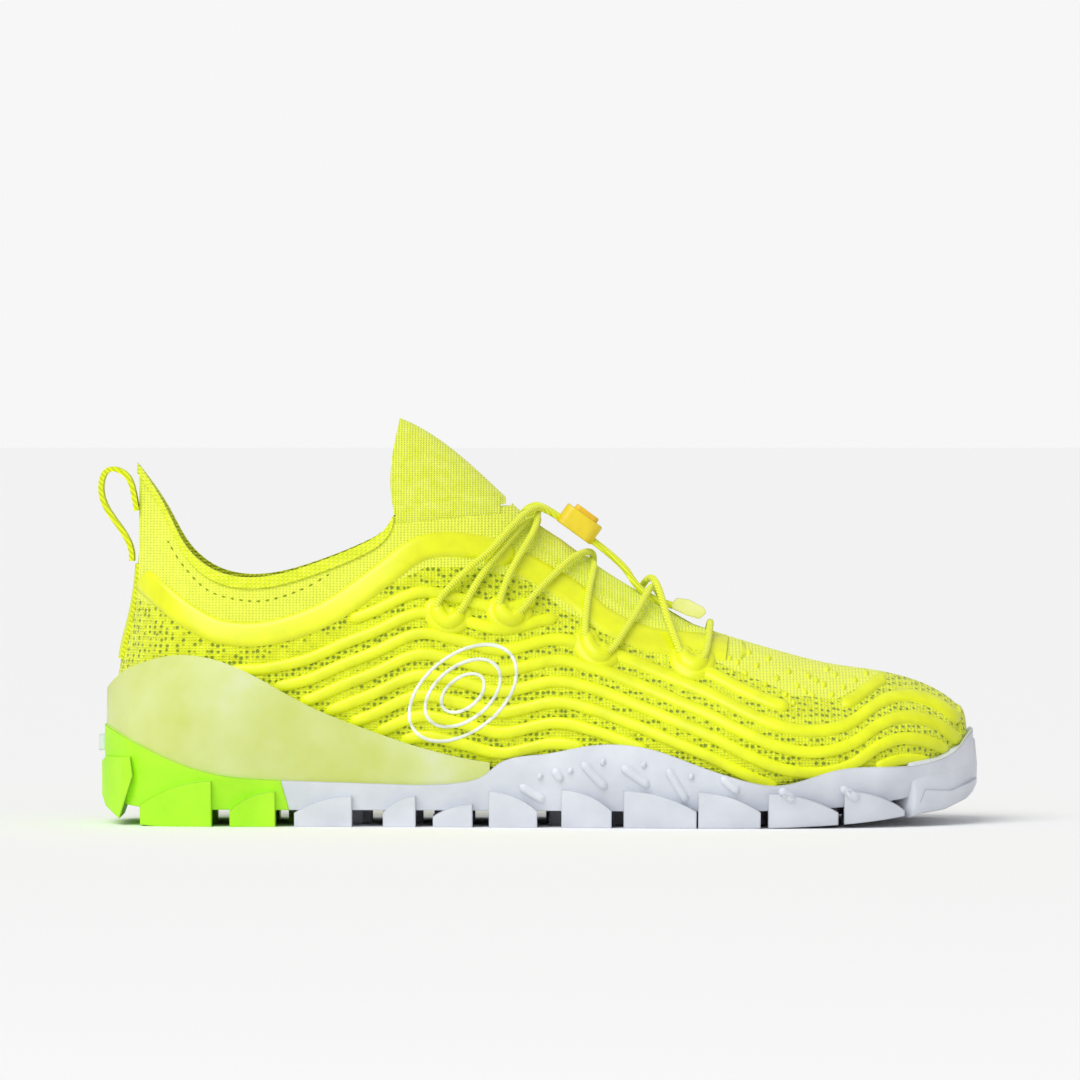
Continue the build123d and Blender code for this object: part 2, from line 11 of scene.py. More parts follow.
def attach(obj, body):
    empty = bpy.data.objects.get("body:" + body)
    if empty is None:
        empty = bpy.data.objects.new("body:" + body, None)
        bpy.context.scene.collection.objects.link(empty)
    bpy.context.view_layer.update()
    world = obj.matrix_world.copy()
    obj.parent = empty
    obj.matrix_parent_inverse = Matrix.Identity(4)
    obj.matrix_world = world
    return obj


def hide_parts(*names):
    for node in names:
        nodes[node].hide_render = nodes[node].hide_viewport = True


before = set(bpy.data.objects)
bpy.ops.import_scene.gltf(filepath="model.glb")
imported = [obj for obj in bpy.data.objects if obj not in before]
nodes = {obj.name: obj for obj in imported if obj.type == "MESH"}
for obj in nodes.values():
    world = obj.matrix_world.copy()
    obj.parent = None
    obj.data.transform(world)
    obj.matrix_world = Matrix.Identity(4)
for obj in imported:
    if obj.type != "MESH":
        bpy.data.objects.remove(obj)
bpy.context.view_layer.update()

MM = 0.001

# Studio: a pale floor as far as one can see, an even pale sky, one very soft sun from the
# front left and a low panel in front that opens up the shadows under the sole.
VIEW_WIDTH = 0.3572  # how much of the shoe's plane the view takes in
VIEW_MIDDLE = (0.0012, 0.0, 0.0933)
VIEW_DISTANCE = 3.0
VIEW_RISE = radians(1.0)
SENSOR = 36.0


def tone(red, green, blue):
    """A display colour, 0 to 255, as the linear colour that a shader takes."""
    linear = []
    for value in (red, green, blue):
        linear.append(value / 255 / 12.92 if value < 11 else ((value / 255 + 0.055) / 1.055) ** 2.4)
    return (*linear, 1.0)


def blank_material(name):
    """A new material, its node tree and its surface shader."""
    material = bpy.data.materials.new(name)
    material.use_nodes = True
    tree = material.node_tree
    return material, tree, tree.nodes["Principled BSDF"]


def build_mesh(name, verts, faces, smooth=True):
    """A mesh object from points and faces."""
    mesh = bpy.data.meshes.new(name)
    mesh.from_pydata(verts, [], faces)
    mesh.validate()
    mesh.update()
    for polygon in mesh.polygons:
        polygon.use_smooth = smooth
    piece = bpy.data.objects.new(name, mesh)
    bpy.context.scene.collection.objects.link(piece)
    return piece


FLOOR_REACH = 60.0
FLOOR_TURNS = ((-1, -1), (1, -1), (1, 1), (-1, 1))
corners = [(x * FLOOR_REACH, y * FLOOR_REACH, 0.0) for x, y in FLOOR_TURNS]
floor = build_mesh("studio_floor", corners, [(0, 1, 2, 3)])
paper, paper_tree, paper_shader = blank_material("paper")
paper_shader.inputs["Base Color"].default_value = tone(247, 247, 247)
paper_shader.inputs["Roughness"].default_value = 0.9
floor.data.materials.append(paper)

SKY_SEEN = 0.93
SKY_LIGHT = 0.52
world = bpy.data.worlds.new("studio")
world.use_nodes = True
sky_nodes = world.node_tree.nodes
sky_links = world.node_tree.links
sky = sky_nodes["Background"]
sky.inputs["Strength"].default_value = SKY_LIGHT
backdrop = sky_nodes.new("ShaderNodeBackground")
backdrop.inputs["Strength"].default_value = SKY_SEEN
for background in (sky, backdrop):
    background.inputs["Color"].default_value = (1.0, 1.0, 1.0, 1.0)
seen = sky_nodes.new("ShaderNodeLightPath")
either = sky_nodes.new("ShaderNodeMixShader")
sky_links.new(seen.outputs["Is Camera Ray"], either.inputs[0])
sky_links.new(sky.outputs[0], either.inputs[1])
sky_links.new(backdrop.outputs[0], either.inputs[2])
sky_links.new(either.outputs[0], sky_nodes["World Output"].inputs["Surface"])
bpy.context.scene.world = world
bpy.context.scene.view_settings.view_transform = "Standard"

SUN_FROM = (-0.40, -0.62, 0.80)
SUN_STRENGTH = 1.98
SUN_SPREAD = radians(45)
PANEL_SPOT = (-0.3, -1.6, 0.5)
PANEL_POWER = 0.9
PANEL_SIZE = 1.0


def hang_light(name, kind, spot, energy):
    """A light at a spot, aimed at the shoe."""
    lamp = bpy.data.lights.new(name, kind)
    lamp.energy = energy
    light = bpy.data.objects.new(name, lamp)
    light.location = spot
    light.rotation_euler = (-Vector(spot)).to_track_quat("-Z", "Y").to_euler()
    bpy.context.scene.collection.objects.link(light)
    return lamp


hang_light("soft_sun", "SUN", SUN_FROM, SUN_STRENGTH).angle = SUN_SPREAD
hang_light("front_panel", "AREA", PANEL_SPOT, PANEL_POWER).size = PANEL_SIZE

eye = bpy.data.cameras.new("camera")
eye.sensor_width = SENSOR
eye.lens = SENSOR * VIEW_DISTANCE / VIEW_WIDTH
eye.clip_end = 20.0
camera = bpy.data.objects.new("camera", eye)
BACKWARDS = Vector((0.0, -cos(VIEW_RISE), sin(VIEW_RISE)))
camera.location = Vector(VIEW_MIDDLE) + VIEW_DISTANCE * BACKWARDS
camera.rotation_euler = (pi / 2 - VIEW_RISE, 0.0, 0.0)
bpy.context.scene.collection.objects.link(camera)
bpy.context.scene.camera = camera

# Knit upper: one seamless engineered knit, yellow yarn with an open mesh on the sides
# and a denser, paler rib over the toes. It is lasted onto the board and cemented.
SOLE_LINE = 10.5 * MM
SHARE_X = 282.0 * MM / 100
SHARE_Z = 120.0 * MM / 100
NEON = tone(238, 250, 0)
NEON_DEEP = tone(212, 222, 0)
NEON_PALE = tone(246, 255, 96)


def place(along, up):
    """A point of the side view from shares of the length and of the upper's height."""
    return along * SHARE_X, SOLE_LINE + up * SHARE_Z


def link(tree, start, end):
    """Joins one shader socket to another."""
    tree.links.new(start, end)


def bands(tree, coordinates, period, direction, distortion=0.0):
    """Even ridges across one direction, a given distance apart."""
    wave = tree.nodes.new("ShaderNodeTexWave")
    wave.bands_direction = direction
    wave.inputs["Scale"].default_value = pi / (10 * period)
    wave.inputs["Distortion"].default_value = distortion
    link(tree, coordinates, wave.inputs["Vector"])
    return wave.outputs["Fac"]


def combine(tree, operation, first, second):
    """Two values put together by arithmetic. The second may be a number."""
    node = tree.nodes.new("ShaderNodeMath")
    node.operation = operation
    link(tree, first, node.inputs[0])
    if isinstance(second, (int, float)):
        node.inputs[1].default_value = second
    else:
        link(tree, second, node.inputs[1])
    return node.outputs[0]


def ramp(tree, value, stops):
    """A colour ramp with (place, colour) stops."""
    node = tree.nodes.new("ShaderNodeValToRGB")
    link(tree, value, node.inputs["Fac"])
    elements = node.color_ramp.elements
    elements[0].position, elements[0].color = stops[0]
    elements[1].position, elements[1].color = stops[-1]
    for position, color in stops[1:-1]:
        elements.new(position).color = color
    return node.outputs["Color"]


def mix(tree, share, first, second):
    """A blend of two colours. Either may be a fixed colour."""
    node = tree.nodes.new("ShaderNodeMix")
    node.data_type = "RGBA"
    if isinstance(share, (int, float)):
        node.inputs["Factor"].default_value = share
    else:
        link(tree, share, node.inputs["Factor"])
    for socket, color in ((node.inputs[6], first), (node.inputs[7], second)):
        if isinstance(color, tuple):
            socket.default_value = color
        else:
            link(tree, color, socket)
    return node.outputs[2]


def raise_surface(tree, shader, height, depth):
    """Bump from a height value, as deep as given."""
    bump = tree.nodes.new("ShaderNodeBump")
    bump.inputs["Distance"].default_value = depth
    bump.inputs["Strength"].default_value = 1.0
    link(tree, height, bump.inputs["Height"])
    link(tree, bump.outputs["Normal"], shader.inputs["Normal"])
    return bump


def own_place(tree):
    """Coordinates fixed to the piece."""
    return tree.nodes.new("ShaderNodeTexCoord").outputs["Object"]


def cloudy(tree, coordinates, size, detail=3.0):
    """Soft random variation, spots of a given size."""
    noise = tree.nodes.new("ShaderNodeTexNoise")
    noise.inputs["Scale"].default_value = 1 / size
    noise.inputs["Detail"].default_value = detail
    link(tree, coordinates, noise.inputs["Vector"])
    return noise.outputs["Fac"]


def dots(tree, coordinates, size):
    """A value that is low at the middle of scattered round spots."""
    cells = tree.nodes.new("ShaderNodeTexVoronoi")
    cells.inputs["Scale"].default_value = 1 / size
    cells.inputs["Randomness"].default_value = 0.35
    link(tree, coordinates, cells.inputs["Vector"])
    return cells.outputs["Distance"]


def below(tree, coordinates, line):
    """One where a point is under a side-view line given in shares, zero over it."""
    axes = tree.nodes.new("ShaderNodeSeparateXYZ")
    link(tree, coordinates, axes.inputs[0])
    along = combine(tree, "ADD", combine(tree, "DIVIDE", axes.outputs["X"], 120 * SHARE_X), 0.5)
    tallest = 0.15
    stops = []
    for x, z in line:
        grey = (SOLE_LINE + z * SHARE_Z) / tallest
        stops.append((x / 120 + 0.5, (grey, grey, grey, 1.0)))
    limit = combine(tree, "MULTIPLY", ramp(tree, along, stops), tallest)
    return combine(tree, "LESS_THAN", axes.outputs["Z"], limit)


def knitted(name, deep, base, pale, stitch, hole=None, hole_shadow_color=None, hole_line=None):
    """Knit yarn: ridges both ways, heathered colour, and under a line open holes, drawn as dark spots
    of painted shade.
    """
    material, tree, shader = blank_material(name)
    spot = own_place(tree)
    wale = bands(tree, spot, stitch, "X", 0.4)
    course = bands(tree, spot, stitch * 0.8, "Z", 0.4)
    loops = combine(tree, "MULTIPLY", wale, course)
    heather = combine(tree, "ADD", combine(tree, "MULTIPLY", cloudy(tree, spot, 3 * MM), 0.6),
                      combine(tree, "MULTIPLY", loops, 0.4))
    color = ramp(tree, heather, [(0.25, deep), (0.5, base), (0.75, pale)])
    height = loops
    if hole:
        pierced = below(tree, spot, hole_line)
        painted_hole_mask = ramp(tree, dots(tree, spot, hole), [(0.2, (0, 0, 0, 1)), (0.42, (1, 1, 1, 1))])
        solid = combine(tree, "MULTIPLY_ADD", pierced, -1.0)
        solid.node.inputs[2].default_value = 1.0
        painted_hole_mask = combine(tree, "MAXIMUM", painted_hole_mask, solid)
        color = mix(tree, pierced, mix(tree, 0.55, color, pale), color)
        # Painted shade: each hole is a dark spot of colour that stands for the shadow inside the shoe,
        # not a real opening.
        color = mix(tree, painted_hole_mask, hole_shadow_color, color)
        height = combine(tree, "ADD", loops, painted_hole_mask)
    link(tree, color, shader.inputs["Base Color"])
    raise_surface(tree, shader, height, 0.35 * MM)
    shader.inputs["Roughness"].default_value = 0.85
    shader.inputs["Sheen Weight"].default_value = 0.25
    return material


def dress(node, material):
    """Gives a CAD piece its material and smooth shading."""
    piece = nodes[node]
    piece.data.materials.clear()
    piece.data.materials.append(material)
    for polygon in piece.data.polygons:
        polygon.use_smooth = True


MESH_LINE = [
    (-50.0, 56.0), (-43.0, 50.0), (-36.0, 42.0), (-31.2, 41.5), (-24.9, 46.0), (-18.2, 56.0),
    (-12.8, 62.0), (-7.4, 62.0), (-0.8, 58.0), (3.3, 50.0), (12.1, 40.0), (20.0, 37.0),
    (30.0, 27.0), (35.0, 26.0), (41.0, 33.0), (46.0, 32.0), (50.0, 25.0),
]
STITCH = 1.1 * MM
HOLE = 1.9 * MM
# Painted shade: the colour of the hole spots, the shadow seen into the shoe through the mesh.
HOLE_PAINTED_SHADE = tone(128, 150, 0)
open_mesh = knitted(
    "open_mesh_knit", NEON_DEEP, NEON, NEON_PALE, STITCH, HOLE, HOLE_PAINTED_SHADE, MESH_LINE,
)
dress("knit_upper", open_mesh)


def surface_of(piece):
    """A piece's faces, ready for finding points on them."""
    points = [vertex.co.copy() for vertex in piece.data.vertices]
    return BVHTree.FromPolygons(points, [tuple(polygon.vertices) for polygon in piece.data.polygons])


WELL_OUTSIDE = 0.2


def touch(surfaces, x, z, side):
    """The outermost point and normal at a place of the side view."""
    best = None
    start, inwards = Vector((x, side * WELL_OUTSIDE, z)), Vector((0, -side, 0))
    for surface in surfaces:
        spot, normal, index, distance = surface.ray_cast(start, inwards)
        if spot is not None and (best is None or side * spot.y > side * best[0].y):
            best = (spot, normal if normal.y * side > 0 else -normal)
    return best


def curve_through(points, gap):
    """Points a short gap apart along a smooth line through the given ones."""
    ends = [points[0], *points, points[-1]]
    line = []
    for a, b, c, d in zip(ends, ends[1:], ends[2:], ends[3:]):
        steps = max(2, int(hypot(c[0] - b[0], c[1] - b[1]) / gap))
        for step in range(steps):
            t = step / steps
            line.append(tuple(
                0.5 * (2 * q + (r - p) * t + (2 * p - 5 * q + 4 * r - s) * t**2
                       + (3 * q - p - 3 * r + s) * t**3)
                for p, q, r, s in zip(a, b, c, d)
            ))
    line.append(tuple(points[-1]))
    return line


ROUND = [-1.0, -0.86, -0.5, 0.0, 0.5, 0.86, 1.0]
SINK = 0.35 * MM


def strip(verts, faces, surfaces, line, side, width, rise, closed=False, flat=1):
    """A moulded strip laid on the surfaces along a side-view line. Its ends are rounded."""
    lengths = [0.0]
    for a, b in zip(line, line[1:]):
        lengths.append(lengths[-1] + hypot(b[0] - a[0], b[1] - a[1]))
    rows = []
    for i, (x, z) in enumerate(line):
        before = line[i - 1 if i or closed else 0]
        after = line[(i + 1) % len(line) if closed else min(i + 1, len(line) - 1)]
        dx, dz = after[0] - before[0], after[1] - before[1]
        size = hypot(dx, dz) or 1.0
        across = (-dz / size, dx / size)
        near_end = min(lengths[i], lengths[-1] - lengths[i]) / (width / 2)
        shrink = 1.0 if closed else sqrt(max(0.02, 1 - max(0.0, 1 - near_end) ** 2))
        row = []
        for u in ROUND:
            off = u * shrink * width / 2
            found = touch(surfaces, x + across[0] * off, z + across[1] * off, side)
            if found is None:
                row = None
                break
            spot, normal = found
            lift = rise * shrink * sqrt(1 - abs(u) ** (2 * flat)) - (SINK if abs(u) == 1.0 else 0.0)
            verts.append(spot + normal * lift)
            row.append(len(verts) - 1)
        rows.append(row)
    pairs = list(zip(rows, rows[1:])) + ([(rows[-1], rows[0])] if closed else [])
    for first, second in pairs:
        if first and second:
            for a, b, c, d in zip(first, first[1:], second[1:], second):
                faces.append((a, b, c, d) if side < 0 else (d, c, b, a))


def level(line, x):
    """Height of a side-view line, given in shares, at x."""
    along = x / SHARE_X
    for (a, low), (b, high) in zip(line, line[1:]):
        if a <= along <= b:
            return SOLE_LINE + (low + (high - low) * (along - a) / (b - a)) * SHARE_Z
    return None


KNIT = surface_of(nodes["knit_upper"])
SIDES = (-1, 1)

# Moulded ribs: wavy bars of thermoplastic printed onto the knit along the foot, which
# hold the open mesh between the sole and the lacing.
RAND_LINE = [
    (-54.0, 23.0), (-49.1, 16.9), (-46.3, 13.6), (-42.3, 9.2), (-37.9, 5.9), (-29.8, 4.0),
    (-17.7, 3.1), (-8.6, 3.6), (-6.3, 5.2), (-4.4, 8.7), (0.9, 11.4), (5.7, 13.6),
    (9.4, 14.1), (13.5, 12.7), (18.8, 8.3), (23.3, 4.8), (28.0, 3.0), (31.9, 5.2),
    (34.9, 7.2), (42.0, 7.8), (46.5, 9.2), (49.1, 12.2), (50.4, 15.6), (54.0, 17.0),
]
COUNTER_LINE = [
    (-52.5, 21.0), (-50.2, 28.7), (-48.4, 32.9), (-45.4, 36.2), (-42.0, 38.0), (-39.3, 37.8),
    (-33.5, 33.4), (-26.6, 24.6), (-20.7, 18.9), (-12.6, 12.5), (-5.4, 9.0),
]
RIB_LIMIT = [
    (-36.0, 37.5), (-31.2, 38.5), (-24.9, 43.0), (-18.2, 52.5), (-12.8, 57.5), (-7.4, 58.0),
    (-0.8, 54.0), (3.3, 47.0), (7.4, 40.0), (12.1, 37.5), (20.0, 36.0), (25.0, 32.0),
    (30.0, 23.0), (35.0, 24.0), (41.0, 32.0), (46.0, 30.0), (50.0, 22.0),
]
RIB_WAVE = [
    (-42.0, 38.0), (-38.0, 30.0), (-33.0, 28.6), (-27.0, 31.2), (-22.5, 35.6), (-18.9, 38.9),
    (-13.7, 44.0), (-8.9, 42.2), (-4.0, 39.6), (2.0, 42.3), (6.4, 40.4), (10.4, 37.0),
    (16.4, 31.2), (20.5, 27.1), (24.5, 22.4), (28.4, 18.8), (32.4, 17.6), (36.3, 19.6),
    (40.0, 24.9), (43.2, 26.5), (46.7, 24.3), (49.6, 19.0),
]
RIB_PITCH = 5.6
RIB_WIDTH = 4.0 * MM
RIB_RISE = 1.25 * MM
SHORTEST_RIB = 16 * MM
FINE = 1.2 * MM


def rib_free(x, z):
    """Whether a rib may run here: over the sole and counter, under the lacing."""
    top = level(RIB_LIMIT, x)
    foot = level(RAND_LINE, x)
    heel = level(COUNTER_LINE, x)
    return top and foot and foot - 1 * MM < z < top and (heel is None or z > heel - 1 * MM)


def moulded(name, deep, base, rough, bump=0.06, coat=0.2):
    """Smooth thermoplastic with faint mottling and a fine moulded grain."""
    material, tree, shader = blank_material(name)
    spot = own_place(tree)
    mottle = ramp(tree, cloudy(tree, spot, 9 * MM), [(0.3, deep), (0.7, base)])
    link(tree, mottle, shader.inputs["Base Color"])
    edge = tree.nodes.new("ShaderNodeBevel")
    edge.samples = 4
    edge.inputs["Radius"].default_value = 0.8 * MM
    grain = raise_surface(tree, shader, cloudy(tree, spot, 0.5 * MM), bump * MM)
    link(tree, edge.outputs["Normal"], grain.inputs["Normal"])
    shader.inputs["Roughness"].default_value = rough
    shader.inputs["Coat Weight"].default_value = coat
    shader.inputs["Coat Roughness"].default_value = 0.35
    return material


rib_plastic = moulded("rib_plastic", tone(222, 230, 0), tone(240, 250, 4), 0.42)
rib_objects = []
for side, name in zip(SIDES, ("ribs_outer", "ribs_inner")):
    verts, faces = [], []
    for step in range(-5, 5):
        wave = [place(x, z + step * RIB_PITCH) for x, z in RIB_WAVE]
        run = []
        for x, z in curve_through(wave, FINE) + [(9.0, 9.0)]:
            if rib_free(x, z):
                run.append((x, z))
            else:
                if len(run) > SHORTEST_RIB / FINE:
                    strip(verts, faces, [KNIT], run, side, RIB_WIDTH, RIB_RISE)
                run = []
    piece = build_mesh(name, verts, faces)
    piece.data.materials.append(rib_plastic)
    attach(piece, "shoe")
    rib_objects.append(piece)
ON_RIBS = [KNIT] + [surface_of(piece) for piece in rib_objects]

# Film bands: one welded film follows the collar from heel to lacing, the other one
# reinforces the eyelets. Both are pressed on hot.
COLLAR_BAND = [
    (-46.6, 59.6), (-43.0, 52.8), (-40.6, 48.8), (-36.6, 44.4), (-31.0, 44.2), (-24.3, 49.5),
    (-18.2, 59.3), (-13.2, 67.3), (-7.4, 67.6), (-2.6, 64.4),
]
EYELET_BAND = [(-2.6, 64.0), (3.9, 55.2), (8.0, 47.4), (13.0, 42.2), (20.0, 40.1), (24.5, 38.6)]
FILMS = (("collar", COLLAR_BAND, 8.4 * MM), ("eyelet", EYELET_BAND, 8.0 * MM))
FILM_RISE = 0.8 * MM
film = moulded("welded_film", tone(222, 228, 0), tone(238, 246, 0), 0.35, coat=0.35)
for side, tag in zip(SIDES, ("outer", "inner")):
    for label, route, width in FILMS:
        verts, faces = [], []
        run = curve_through([place(*p) for p in route], FINE)
        strip(verts, faces, [KNIT], run, side, width, FILM_RISE, flat=4)
        band = build_mesh(f"{label}_film_{tag}", verts, faces)
        band.data.materials.append(film)
        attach(band, "shoe")

# Stitching: one row of lockstitch holds the collar's turned edge.
STITCH_ROUTE = [
    (-43.0, 69.0), (-41.2, 62.5), (-38.3, 55.8), (-34.8, 53.2), (-31.2, 53.0),
    (-27.0, 56.2), (-23.8, 60.5),
]
thread = moulded("thread", tone(120, 140, 0), tone(150, 172, 0), 0.8, coat=0.0)
verts, faces = [], []
for side in SIDES:
    seam = curve_through([place(*p) for p in STITCH_ROUTE], 0.7 * MM)
    for start in range(0, len(seam) - 3, 4):
        strip(verts, faces, [KNIT], seam[start:start + 3], side, 0.7 * MM, 0.35 * MM)
stitches = build_mesh("collar_stitches", verts, faces)
stitches.data.materials.append(thread)
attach(stitches, "shoe")

# Vamp pills: short raised bars of the ribs' plastic, scattered over the toes.
PILL_ROWS, PILLS_IN_ROW = 4, 8
PILL_WIDTH, PILL_RISE = 2.0 * MM, 0.9 * MM
verts, faces = [], []
for side in SIDES:
    for row in range(PILL_ROWS):
        for step in range(PILLS_IN_ROW):
            up = 37.0 - 0.75 * step - row * 3.0 + 2.2 * sin(step * 1.3 + row)
            x, z = place(22.5 + 2.3 * step + row * 0.9, up)
            tilt = radians(20 * sin(step * 2.1 + row))
            bar = [(x + k * cos(tilt) * MM, z + k * sin(tilt) * MM) for k in (-0.8, -0.4, 0, 0.4, 0.8)]
            if level(RIB_LIMIT, x) < z + 2 * MM:
                strip(verts, faces, [KNIT], bar, side, PILL_WIDTH, PILL_RISE)
pills = build_mesh("vamp_pills", verts, faces)
pills.data.materials.append(rib_plastic)
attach(pills, "shoe")

# Side mark: plain nested oval contours, screen printed in white over mesh and ribs.
MARK_MIDDLE = (-24.0 * MM, 44.0 * MM)
MARK_TURN = radians(38)
ink = moulded("white_ink", tone(222, 228, 214), tone(246, 250, 240), 0.5, coat=0.0)
verts, faces = [], []
for side in SIDES:
    for reach in (8.0 * MM, 14.0 * MM, 20.0 * MM):
        oval = []
        for step in range(96):
            turn = 2 * pi * step / 96
            u, v = reach * cos(turn), 0.62 * reach * sin(turn)
            oval.append((MARK_MIDDLE[0] + u * cos(MARK_TURN) - v * sin(MARK_TURN),
                         MARK_MIDDLE[1] + u * sin(MARK_TURN) + v * cos(MARK_TURN)))
        strip(verts, faces, ON_RIBS, oval, side, 1.2 * MM, 0.3 * MM, closed=True, flat=2)
mark = build_mesh("side_contours", verts, faces)
mark.data.materials.append(ink)
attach(mark, "shoe")

# Collar and tongue: a rolled, finely ribbed edge and a pale one-piece stretch tongue.
EDGE_TONES = (tone(214, 228, 20), tone(238, 250, 40), tone(246, 255, 110))
TONGUE_TONES = (tone(226, 240, 40), tone(242, 252, 84), tone(250, 255, 150))
edge_knit = knitted("edge_knit", *EDGE_TONES, 1.5 * MM)
tongue_knit = knitted("tongue_knit", *TONGUE_TONES, 0.9 * MM)
dress("collar_binding", edge_knit)
dress("tongue_flap", tongue_knit)

# The tongue's turned seam: a narrow pale band that closes the joint with the knit below.
FLAP_LINE = [(-17.0, 76.05), (-12.0, 77.2), (-7.5, 78.3), (-4.2, 79.0)]
TONGUE = surface_of(nodes["tongue_flap"])
# Height over the seam and lift off the knit.
BAND_ROWS = [(3.0, 0.0), (2.2, 0.45), (0.0, 0.6), (-2.2, 0.45), (-3.0, 0.0)]
verts, faces = [], []
for side in SIDES:
    first = len(verts)
    for x, z in curve_through([place(*p) for p in FLAP_LINE], FINE):
        upper = touch([TONGUE], x, z + 1.2 * MM, side)
        lower = touch([KNIT], x, z - 2.2 * MM, side)
        if upper and lower:
            lean = (upper[0].y - lower[0].y) / (3.4 * MM)
            for up, lift in BAND_ROWS:
                y = lower[0].y + lean * (up + 2.2) * MM + side * lift * MM
                verts.append(Vector((x, y, z + up * MM)))
    for a in range(first, len(verts) - len(BAND_ROWS), len(BAND_ROWS)):
        for k in range(len(BAND_ROWS) - 1):
            faces.append((a + k, a + k + 1, a + k + len(BAND_ROWS) + 1, a + k + len(BAND_ROWS)))
seam_band = build_mesh("tongue_seam_band", verts, faces)
seam_band.data.materials.append(tongue_knit)
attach(seam_band, "tongue")

# Gusset under the lacing: the tongue's padded middle, which fills up towards the cords.
GUSSET_START, GUSSET_END = -7.0 * MM, 54.0 * MM
GUSSET_HALF = 15.0 * MM
GUSSET_RISE = 2.3 * MM
GUSSET_ROWS, GUSSET_COLUMNS = 40, 20
verts, faces = [], []
for row in range(GUSSET_ROWS + 1):
    share = row / GUSSET_ROWS
    x = GUSSET_START + (GUSSET_END - GUSSET_START) * share
    for column in range(GUSSET_COLUMNS + 1):
        across = 2 * column / GUSSET_COLUMNS - 1
        y = across * GUSSET_HALF * (0.75 + 0.25 * sin(pi * share)) + 2 * MM
        spot, normal, index, distance = KNIT.ray_cast(Vector((x, y, 0.2)), Vector((0, 0, -1)))
        swell = (1 - across**2) ** 0.8 * min(1.0, 4 * share, 4 * (1 - share))
        verts.append(spot + Vector((0, 0, 1)) * (GUSSET_RISE * swell - SINK * (1 - swell)))
for row in range(GUSSET_ROWS):
    for column in range(GUSSET_COLUMNS):
        a = row * (GUSSET_COLUMNS + 1) + column
        faces.append((a, a + GUSSET_COLUMNS + 1, a + GUSSET_COLUMNS + 2, a + 1))
gusset = build_mesh("tongue_gusset", verts, faces)
gusset.data.materials.append(tongue_knit)
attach(gusset, "shoe")

# Heel: a frosted thermoplastic cup outside the knit, with a woven tape and a pull loop
# of the same webbing up the back.
FROST = tone(204, 214, 112)
frosted, frosted_tree, frosted_shader = blank_material("frosted_counter")
spot = own_place(frosted_tree)
FROST_STOPS = [(0.3, FROST), (0.62, tone(214, 224, 150)), (0.8, tone(222, 228, 190))]
milk = ramp(frosted_tree, cloudy(frosted_tree, spot, 22 * MM), FROST_STOPS)
link(frosted_tree, milk, frosted_shader.inputs["Base Color"])
raise_surface(frosted_tree, frosted_shader, cloudy(frosted_tree, spot, 0.6 * MM), 0.05 * MM)
frosted_shader.inputs["Roughness"].default_value = 0.38
frosted_shader.inputs["Coat Weight"].default_value = 0.3
frosted_shader.inputs["Coat Roughness"].default_value = 0.3
frosted_shader.inputs["Subsurface Weight"].default_value = 0.35
frosted_shader.inputs["Subsurface Radius"].default_value = (0.004, 0.004, 0.001)
dress("heel_counter", frosted)


def woven(name, deep, base, pick):
    """Tight woven tape: diagonal picks and a slightly darker ground."""
    material, tree, shader = blank_material(name)
    spot = own_place(tree)
    twill = bands(tree, spot, pick, "DIAGONAL", 0.2)
    link(tree, ramp(tree, twill, [(0.2, deep), (0.7, base)]), shader.inputs["Base Color"])
    raise_surface(tree, shader, twill, 0.25 * MM)
    shader.inputs["Roughness"].default_value = 0.8
    shader.inputs["Sheen Weight"].default_value = 0.2
    return material


webbing = woven("loop_webbing", tone(206, 218, 0), tone(240, 250, 10), 0.9 * MM)
dress("heel_pull_loop", webbing)

# Outsole: white rubber with side lugs and a raised rand, and a yellow-green rubber heel.
# The two colours are moulded together and cemented to the midsole.


def rubber(name, deep, base):
    """Moulded rubber: soft sheen, faint mottling, rounded-looking edges."""
    material, tree, shader = blank_material(name)
    spot = own_place(tree)
    mottle = ramp(tree, cloudy(tree, spot, 14 * MM), [(0.3, deep), (0.7, base)])
    link(tree, mottle, shader.inputs["Base Color"])
    edge = tree.nodes.new("ShaderNodeBevel")
    edge.samples = 4
    edge.inputs["Radius"].default_value = 0.9 * MM
    bump = tree.nodes.new("ShaderNodeBump")
    bump.inputs["Distance"].default_value = 0.05 * MM
    link(tree, cloudy(tree, spot, 0.7 * MM), bump.inputs["Height"])
    link(tree, edge.outputs["Normal"], bump.inputs["Normal"])
    link(tree, bump.outputs["Normal"], shader.inputs["Normal"])
    shader.inputs["Roughness"].default_value = 0.5
    return material


white_rubber = rubber("white_rubber", tone(206, 210, 219), tone(222, 226, 234))
green_rubber = rubber("green_rubber", tone(168, 236, 20), tone(184, 246, 34))
dress("outsole", white_rubber)
dress("heel_tab", white_rubber)
dress("outsole_heel", green_rubber)

